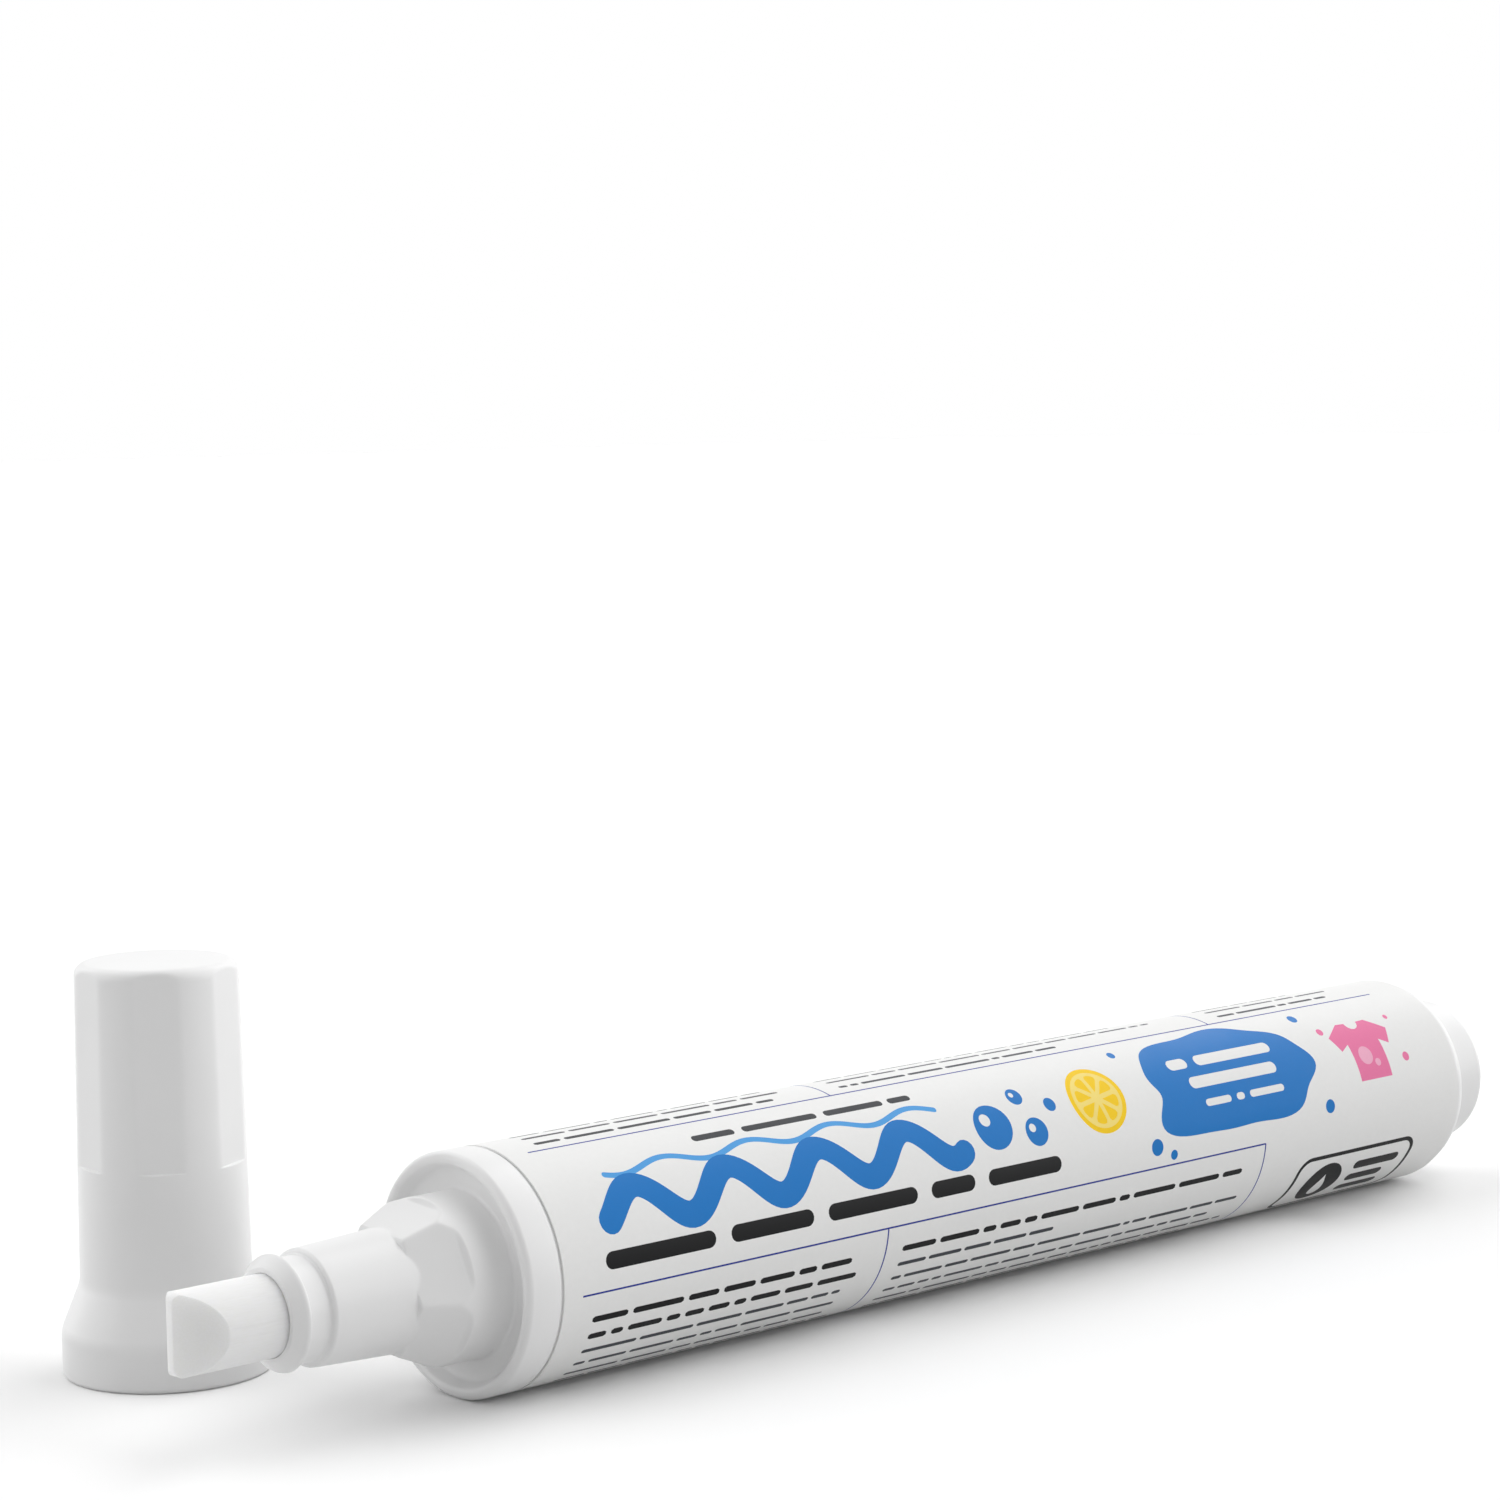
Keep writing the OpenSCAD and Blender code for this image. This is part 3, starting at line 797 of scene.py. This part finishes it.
def flare_radius(along, radius, turn):
    """The radius with the six facets between neck and seat, which step up at both ends."""
    if along < FLARE_FRONT - FLARE_STEP_L or radius > NECK_REAR_R + TINY:
        return radius
    half_facet = 180 / FACET_COUNT
    corner_r = FLARE_FRONT_R + FLARE_RISE * (along - FLARE_FRONT)
    off_middle = (turn - RIDGE_TURN) % (2 * half_facet) - half_facet
    facet_r = corner_r * math.cos(math.radians(half_facet)) / math.cos(math.radians(off_middle))
    facet_r = smooth_min(SEAT_R, smooth_min(facet_r, corner_r * RIDGE_TRIM, RIDGE_SOFT), RIDGE_SOFT)
    facet_r = smooth_max(NECK_REAR_R, facet_r, FLARE_FOOT_SOFT)
    step_up = smooth_step((along - FLARE_FRONT) / FLARE_STEP_L + 0.5)
    facet_r = NECK_REAR_R + (facet_r - NECK_REAR_R) * step_up
    return facet_r + (SEAT_R - facet_r) * smooth_step((along - SEAT_FRONT) / SHOULDER_L)


def make_nose(white):
    """The bore's mouth, flange, groove, neck, facets and seat, and then the collar with its recess."""
    bore_r = NIB_R + NIB_GAP
    collar_rear = COLLAR_L - COLLAR_GAP
    front = rounded([
        (NOSE_FRONT + NIB_BORE_L, bore_r, 0), (NOSE_FRONT, bore_r, NIB_BORE_ROUND),
        (NOSE_FRONT, FLANGE_R - FLANGE_TAPER, EDGE_ROUND),
        (NOSE_FRONT + FLANGE_TAPER_L, FLANGE_R, FLANGE_ROUND),
        (GROOVE_FRONT, FLANGE_R, EDGE_ROUND), (GROOVE_FRONT, GROOVE_R, GROOVE_ROUND),
        (NECK_FRONT, GROOVE_R, GROOVE_ROUND), (NECK_FRONT, NECK_FRONT_R, NECK_ROUND),
        (FLARE_FRONT - NECK_EVEN_L, NECK_REAR_R, 0), (FLARE_FRONT, NECK_REAR_R, 0),
        (FACETS_REAR, NECK_REAR_R, 0)])
    front = refined(front, FLARE_FRONT - FLARE_MESH_MARGIN, FACETS_REAR, FLARE_MESH_STEP)
    collar = rounded([
        (RECESS_DEPTH - SEAT_FOOT_L, SEAT_R, 0), (RECESS_DEPTH, SEAT_R, SEAT_FOOT_ROUND),
        (RECESS_DEPTH, RECESS_FLOOR_R, RECESS_FLOOR_ROUND), (0, RECESS_MOUTH_R, RECESS_MOUTH_ROUND),
        (0, PEN_R, RIM_ROUND), (collar_rear, PEN_R, EDGE_ROUND),
        (collar_rear, BARREL_R - BARREL_LIP, 0)])
    mesh = turned_mesh("nose_moulding", front + collar, on_pen, flare_radius, steps=2 * ROUND_STEPS)
    piece = add_object("nose_moulding", mesh, "pen", [white])
    shade(piece)
    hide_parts("nose_section")


def make_barrel(white):
    """The tube behind the collar, with the socket that takes the tail plug."""
    outline = rounded([
        (COLLAR_L, BARREL_R - BARREL_LIP, 0), (COLLAR_L, BARREL_R, CRISP_ROUND),
        (BARREL_L, BARREL_R, TAIL_ROUND), (BARREL_L, PLUG_SOCKET_R, CRISP_ROUND),
        (BARREL_L - PLUG_SOCKET_L, PLUG_SOCKET_R, 0)])
    mesh = turned_mesh("barrel_tube", outline, on_pen)
    piece = add_object("barrel_tube", mesh, "pen", [white])
    shade(piece)
    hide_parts("barrel")


def make_plug(white):
    """The tail plug, with the shallow dimple of its moulding gate in the end face."""
    end = BARREL_L + PLUG_OUT
    outline = rounded([
        (BARREL_L - PLUG_SHANK_L, PLUG_SHANK_R, 0), (BARREL_L, PLUG_SHANK_R, 0),
        (BARREL_L, PLUG_R, EDGE_ROUND), (end, PLUG_R, PLUG_ROUND), (end, GATE_R, EDGE_ROUND),
        (end - GATE_DEPTH, GATE_R - GATE_DRAFT, CRISP_ROUND), (end - GATE_DEPTH, 0, 0)])
    mesh = turned_mesh("tail_plug", outline, on_pen)
    piece = add_object("tail_plug", mesh, "pen", [white])
    shade(piece)
    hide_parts("end_plug")


def shank_radius(up):
    """The cap's shank, which narrows towards the closed end."""
    return SHANK_R + (CAP_END_R - SHANK_R) * (up - SHANK_START) / (CAP_L - SHANK_START)


def grip_radius(up, radius, turn):
    """The cap's radius with the grip flats cut in."""
    spacing = 360 / FLAT_COUNT
    off_middle = (turn + spacing / 2) % spacing - spacing / 2
    flat_r = (shank_radius(up) - FLAT_DEPTH) / math.cos(math.radians(off_middle))
    cut = smooth_step((up - FLAT_START) / FLAT_STEP_L)
    return radius + (smooth_min(radius, flat_r, FLAT_SOFT) - radius) * cut


def make_cap(white):
    """The cap's outside, fine where the grip flats begin, and its socket and bore."""
    outer = rounded([
        (0, CAP_SOCKET_R, 0), (0, SKIRT_R, SKIRT_ROUND), (SKIRT_L, SKIRT_R, CAP_BEND),
        (SHANK_START, SHANK_R, CAP_BEND), (CAP_L, CAP_END_R, CAP_ROUND), (CAP_L, 0, 0)])
    outer = refined(outer, FLAT_START - STEP_MESH_MARGIN, FLAT_START + STEP_MESH_MARGIN, STEP_MESH_STEP)
    outer = refined(outer, FLAT_START + STEP_MESH_MARGIN, CAP_L + 1, FLAT_MESH_STEP)
    end_wall = CAP_L - CAP_END_WALL
    inner = [(end_wall, 0), (end_wall, CAP_BORE_R), (CAP_SOCKET_DEPTH + FLARE_L, CAP_BORE_R),
             (CAP_SOCKET_DEPTH, CAP_SOCKET_R), (CAP_MOUTH_L, CAP_SOCKET_R)]
    outline = outer + [Vector(p) for p in inner]
    mesh = turned_mesh("cap_moulding", outline, on_cap, grip_radius, closed=True)
    piece = add_object("cap_moulding", mesh, "cap", [white])
    shade(piece)
    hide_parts("cap_shell")


def make_nib(fibre):
    """The fibre rod, with the soft edges of a ground nib."""
    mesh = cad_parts["nib"].data.copy()
    mesh.name = "nib_rod"
    mesh.materials.clear()
    piece = add_object("nib_rod", mesh, "nib_and_valve", [fibre])
    bm = bmesh.new()
    bm.from_mesh(mesh)
    bmesh.ops.remove_doubles(bm, verts=bm.verts, dist=1e-6)
    bmesh.ops.dissolve_limit(bm, angle_limit=math.radians(0.5), verts=bm.verts, edges=bm.edges)
    bm.to_mesh(mesh)
    bm.free()
    soften = piece.modifiers.new("soften", "BEVEL")
    soften.width = NIB_EDGE * MM
    soften.segments = 3
    soften.limit_method = "ANGLE"
    soften.angle_limit = math.radians(NIB_EDGE_DEGREES)
    shade(piece, 50)
    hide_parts("nib")


# The studio

def seen_rays(nodes, links):
    """1 for the rays that show a surface to the camera, straight or in a reflection or through glass."""
    rays = nodes.new("ShaderNodeLightPath")
    value = rays.outputs["Is Camera Ray"]
    for name in ("Is Glossy Ray", "Is Transmission Ray"):
        larger = nodes.new("ShaderNodeMath")
        larger.operation = "MAXIMUM"
        links.new(value, larger.inputs[0])
        links.new(rays.outputs[name], larger.inputs[1])
        value = larger.outputs["Value"]
    return value


def make_floor():
    """A white floor that keeps the shadow, and throws back less light than it shows."""
    corners = [(x * FLOOR_SIZE, y * FLOOR_SIZE, 0) for x, y in ((-1, -1), (1, -1), (1, 1), (-1, 1))]
    mesh = bpy.data.meshes.new("floor")
    mesh.from_pydata(corners, [], [(0, 1, 2, 3)])
    floor = bpy.data.objects.new("floor", mesh)
    bpy.context.scene.collection.objects.link(floor)
    material = bpy.data.materials.new("floor_look")
    material.use_nodes = True
    nodes, links = material.node_tree.nodes, material.node_tree.links
    nodes.clear()
    out = nodes.new("ShaderNodeOutputMaterial")
    tone = nodes.new("ShaderNodeMix")
    tone.data_type = "RGBA"
    tone.inputs["A"].default_value = (FLOOR_BOUNCE,) * 3 + (1,)
    tone.inputs["B"].default_value = (FLOOR_WHITE,) * 3 + (1,)
    links.new(seen_rays(nodes, links), tone.inputs["Factor"])
    paint = nodes.new("ShaderNodeBsdfDiffuse")
    links.new(tone.outputs["Result"], paint.inputs["Color"])
    links.new(paint.outputs["BSDF"], out.inputs["Surface"])
    mesh.materials.append(material)


def toward(azimuth, elevation):
    """The direction from the object to something on that side and at that height, in degrees."""
    a, e = math.radians(azimuth), math.radians(elevation)
    return Vector((math.sin(a) * math.cos(e), -math.cos(a) * math.cos(e), math.sin(e)))


def make_world():
    """An even white sky, which the camera sees as plain white."""
    world = bpy.data.worlds.new("studio")
    bpy.context.scene.world = world
    world.use_nodes = True
    nodes, links = world.node_tree.nodes, world.node_tree.links
    background = nodes["Background"]
    background.inputs["Color"].default_value = (1, 1, 1, 1)
    strength = nodes.new("ShaderNodeMapRange")
    strength.inputs["To Min"].default_value = WORLD_LIGHT
    strength.inputs["To Max"].default_value = 1.0
    links.new(seen_rays(nodes, links), strength.inputs["Value"])
    links.new(strength.outputs["Result"], background.inputs["Strength"])


def make_lamps():
    """Three broad soft lamps."""
    for name, (level, azimuth, elevation) in SOFTBOXES.items():
        data = bpy.data.lights.new(name, "SUN")
        data.energy = level * math.pi
        data.angle = math.radians(SOFTBOX_SPREAD)
        lamp = bpy.data.objects.new(name, data)
        bpy.context.scene.collection.objects.link(lamp)
        lamp.rotation_mode = "QUATERNION"
        lamp.rotation_quaternion = toward(azimuth, elevation).to_track_quat("Z", "Y")


def make_camera():
    """The photograph's view."""
    data = bpy.data.cameras.new("camera")
    data.sensor_width = SENSOR_MM
    data.lens = FOCAL_PX / FRAME_PX * SENSOR_MM
    data.clip_start, data.clip_end = 0.01, 20
    camera = bpy.data.objects.new("camera", data)
    bpy.context.scene.collection.objects.link(camera)
    bpy.context.scene.camera = camera
    camera.location = CAMERA_PLACE
    ahead = -toward(CAMERA_AZIMUTH, CAMERA_ELEVATION)
    camera.rotation_mode = "QUATERNION"
    upright = ahead.to_track_quat("-Z", "Y")
    camera.rotation_quaternion = upright @ Quaternion((0, 0, 1), math.radians(CAMERA_ROLL))


def finish_inner_pieces(natural):
    """The pieces inside keep their shape and get their own finish."""
    looks = {"valve_stem": natural, "valve_housing": natural, "cap_inner_seal": natural,
             "valve_spring": spring_steel(), "valve_seal": seal_rubber(), "cleaning_fluid": fluid_look()}
    for node, look in looks.items():
        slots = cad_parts[node].data.materials
        slots.clear()
        slots.append(look)


white = moulded_plastic("white_plastic", "F0F0F0", "F4F4F4", 0.32)
natural = moulded_plastic("natural_plastic", "DDE2E6", "E8ECEF", 0.45)
make_label()
make_nose(white)
make_barrel(white)
make_plug(white)
make_cap(white)
make_nib(nib_fibre())
finish_inner_pieces(natural)
make_floor()
make_world()
make_lamps()
make_camera()
bpy.context.scene.view_settings.view_transform = "Standard"
